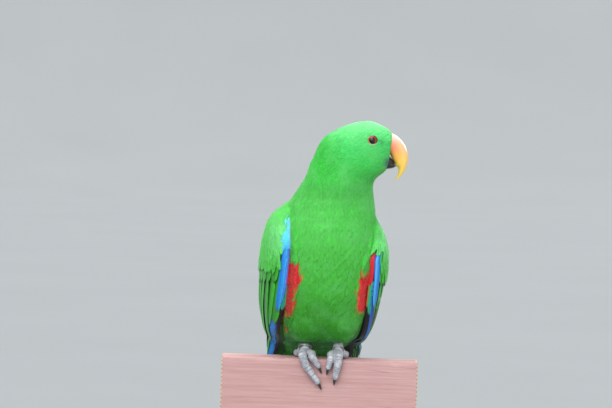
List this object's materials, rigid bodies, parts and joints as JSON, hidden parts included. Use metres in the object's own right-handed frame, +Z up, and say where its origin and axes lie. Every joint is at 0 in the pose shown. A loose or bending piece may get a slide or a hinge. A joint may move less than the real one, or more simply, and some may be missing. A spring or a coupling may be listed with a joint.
{
  "type": "eclectus parrot",
  "caption": "Life-size still model of a green male eclectus parrot, head turned in profile, gripping a short cut rail on a plain display stand.",
  "frame": {"origin": "centre of the stand base's flat underside", "axes": "+Z up, +X towards the bird's bill (the viewer's right), -Y towards the viewer that the chest faces"},
  "size_m": [0.176, 0.176, 0.3378],
  "materials": {
    "green_feathers": "soft plumage with a slight sheen",
    "wing_feathers": "smooth flight feathers, green with blue and red edges",
    "tail_feathers": "smooth flight feathers, green with blue edges",
    "upper_bill_horn": "polished horn, coral to yellow",
    "lower_bill_horn": "black horn",
    "eye_glass": "wet, dark with an orange-red iris",
    "grey_foot_skin": "matt grey scaled skin",
    "claw_horn": "dark horn",
    "leg_ring_steel": "worn metal",
    "rail_stained_wood": "weathered pinkish stain",
    "stand_painted_wood": "satin paint",
    "rod_steel": "satin"
  },
  "bodies": {
    "root": {"head": "green_feathers", "neck": "green_feathers", "torso": "green_feathers", "beak_upper": "upper_bill_horn", "beak_lower": "lower_bill_horn", "eye_right": "eye_glass", "eye_left": "eye_glass", "wing_right": "wing_feathers", "wing_left": "wing_feathers", "tail": "tail_feathers", "thigh_right": "green_feathers", "thigh_left": "green_feathers", "leg_right": "grey_foot_skin", "leg_left": "grey_foot_skin", "foot_right": "grey_foot_skin", "foot_left": "grey_foot_skin", "claw_right_1": "claw_horn", "claw_right_2": "claw_horn", "claw_right_3": "claw_horn", "claw_right_4": "claw_horn", "claw_left_1": "claw_horn", "claw_left_2": "claw_horn", "claw_left_3": "claw_horn", "claw_left_4": "claw_horn", "leg_ring": "leg_ring_steel", "stand_perch_rail": "rail_stained_wood", "stand_base": "stand_painted_wood", "stand_rod_1": "rod_steel", "stand_rod_2": "rod_steel"}
  },
  "joints": []
}
